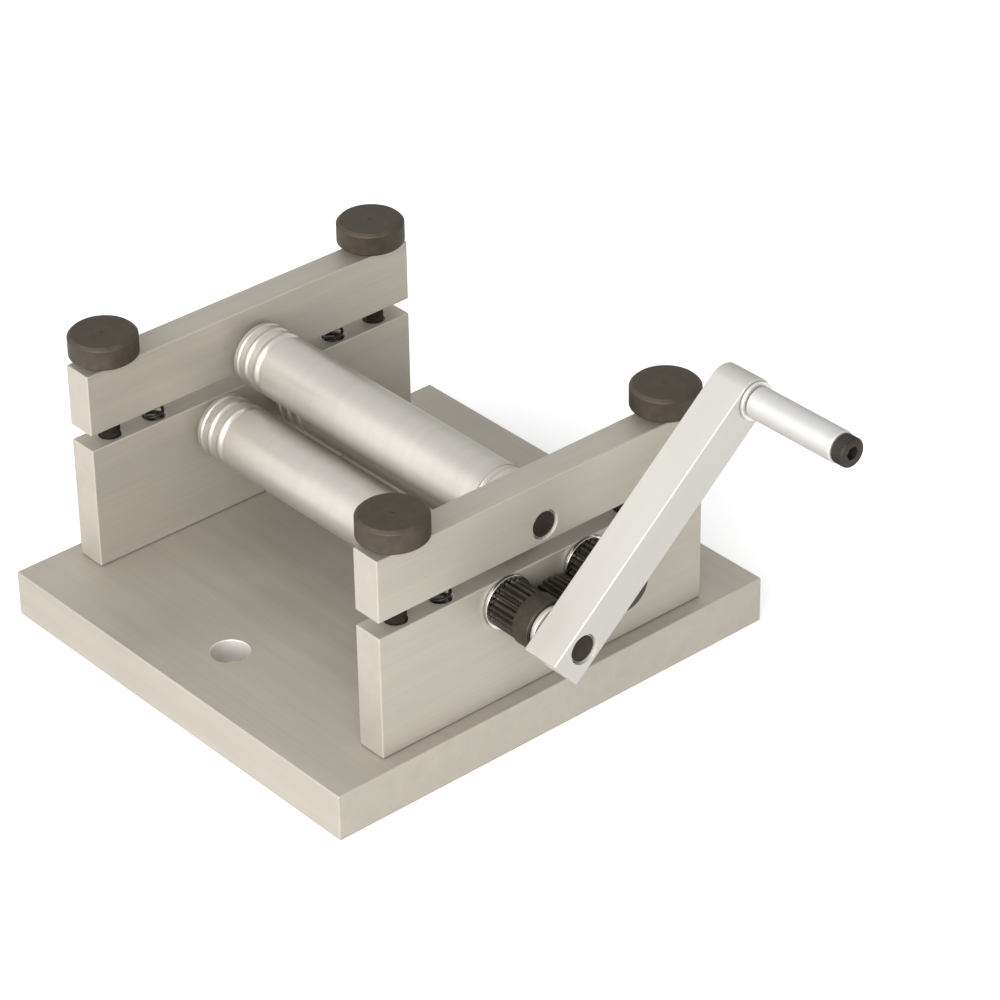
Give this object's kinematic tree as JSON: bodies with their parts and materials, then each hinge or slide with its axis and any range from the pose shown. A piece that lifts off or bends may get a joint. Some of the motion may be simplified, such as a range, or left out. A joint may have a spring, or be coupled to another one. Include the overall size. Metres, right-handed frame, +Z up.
{
  "type": "mini slip roll",
  "caption": "Bench-top slip roll: steel rolls between aluminium side plates, a spring-lifted upper roll set by thumbscrews, and a geared hand crank for bending sheet and wire.",
  "frame": {"origin": "centre of the base plate's flat underside", "axes": "+X along the rolls towards the crank, +Y to the back, +Z up"},
  "size_m": [0.2731, 0.2032, 0.136],
  "materials": {
    "satin_aluminium": "satin, milled and lightly brushed",
    "bright_aluminium": "bright, fine milled",
    "ground_steel": "turned and ground",
    "black_oxide_steel": "black oxide with turning marks",
    "dark_steel": "dark oiled steel",
    "spring_wire": "black spring wire",
    "washer_steel": "bright"
  },
  "bodies": {
    "base_frame": {"base_plate": "satin_aluminium", "lower_side_plate_left": "satin_aluminium", "lower_side_plate_right": "satin_aluminium", "side_plate_screw_left_front": "black_oxide_steel", "side_plate_screw_left_rear": "black_oxide_steel", "side_plate_screw_right_front": "black_oxide_steel", "side_plate_screw_right_rear": "black_oxide_steel", "idler_shoulder_screw": "black_oxide_steel", "idler_washer": "washer_steel", "lift_spring_left_front": "spring_wire", "lift_spring_left_rear": "spring_wire", "lift_spring_right_front": "spring_wire", "lift_spring_right_rear": "spring_wire"},
    "upper_frame": {"upper_bar_left": "satin_aluminium", "upper_bar_right": "satin_aluminium"},
    "top_roll": {"upper_roll": "ground_steel"},
    "thumbscrew_left_front": {"thumb_knob_left_front": "black_oxide_steel", "thumb_stud_left_front": "dark_steel"},
    "thumbscrew_left_rear": {"thumb_knob_left_rear": "black_oxide_steel", "thumb_stud_left_rear": "dark_steel"},
    "thumbscrew_right_front": {"thumb_knob_right_front": "black_oxide_steel", "thumb_stud_right_front": "dark_steel"},
    "thumbscrew_right_rear": {"thumb_knob_right_rear": "black_oxide_steel", "thumb_stud_right_rear": "dark_steel"},
    "crank": {"front_roll": "ground_steel", "front_thrust_washer": "washer_steel", "front_pinion": "dark_steel", "front_pinion_set_screw": "black_oxide_steel", "crank_spacer": "bright_aluminium", "crank_arm": "bright_aluminium", "crank_set_screw": "black_oxide_steel", "handle_washer": "washer_steel", "handle_screw": "black_oxide_steel"},
    "handle": {"handle_grip": "bright_aluminium"},
    "back_roll": {"rear_roll": "ground_steel", "rear_thrust_washer": "washer_steel", "rear_pinion": "dark_steel", "rear_pinion_set_screw": "black_oxide_steel"},
    "idler": {"idler_gear": "dark_steel"}
  },
  "joints": [
    {"name": "crank_turn", "type": "hinge", "parent": "base_frame", "child": "crank", "pos_m": [0, -0.0187, 0.06005], "axis": [1, 0, 0], "continuous": true},
    {"name": "rear_roll_turn", "type": "hinge", "parent": "base_frame", "child": "back_roll", "pos_m": [0, 0.0187, 0.06005], "axis": [1, 0, 0], "continuous": true},
    {"name": "idler_turn", "type": "hinge", "parent": "base_frame", "child": "idler", "pos_m": [0.095, 0, 0.04958], "axis": [1, 0, 0], "continuous": true},
    {"name": "handle_turn", "type": "hinge", "parent": "crank", "child": "handle", "pos_m": [0.15, 0.06099, 0.12811], "axis": [1, 0, 0], "continuous": true},
    {"name": "upper_frame_slide", "type": "slide", "parent": "base_frame", "child": "upper_frame", "axis": [0, 0, 1], "range_m": [-0.00599, 0.00211], "deforming": ["lift_spring_left_front", "lift_spring_left_rear", "lift_spring_right_front", "lift_spring_right_rear"]},
    {"name": "upper_roll_turn", "type": "hinge", "parent": "upper_frame", "child": "top_roll", "pos_m": [0, 0, 0.0836], "axis": [1, 0, 0], "continuous": true},
    {"name": "thumbscrew_left_front_turn", "type": "hinge", "parent": "upper_frame", "child": "thumbscrew_left_front", "pos_m": [-0.08255, -0.0635, 0.1016], "axis": [0, 0, 1], "range_deg": [-1530, 540]},
    {"name": "thumbscrew_left_rear_turn", "type": "hinge", "parent": "upper_frame", "child": "thumbscrew_left_rear", "pos_m": [-0.08255, 0.0635, 0.1016], "axis": [0, 0, 1], "range_deg": [-1530, 540]},
    {"name": "thumbscrew_right_front_turn", "type": "hinge", "parent": "upper_frame", "child": "thumbscrew_right_front", "pos_m": [0.08255, -0.0635, 0.1016], "axis": [0, 0, 1], "range_deg": [-1530, 540]},
    {"name": "thumbscrew_right_rear_turn", "type": "hinge", "parent": "upper_frame", "child": "thumbscrew_right_rear", "pos_m": [0.08255, 0.0635, 0.1016], "axis": [0, 0, 1], "range_deg": [-1530, 540]}
  ],
  "couplings": [
    {"joint": "rear_roll_turn", "follows": "crank_turn", "ratio": 1},
    {"joint": "idler_turn", "follows": "crank_turn", "ratio": -0.6875},
    {"joint": "thumbscrew_left_front_turn", "follows": "upper_frame_slide", "rad_per_m": 4453},
    {"joint": "thumbscrew_left_rear_turn", "follows": "upper_frame_slide", "rad_per_m": 4453},
    {"joint": "thumbscrew_right_front_turn", "follows": "upper_frame_slide", "rad_per_m": 4453},
    {"joint": "thumbscrew_right_rear_turn", "follows": "upper_frame_slide", "rad_per_m": 4453}
  ]
}
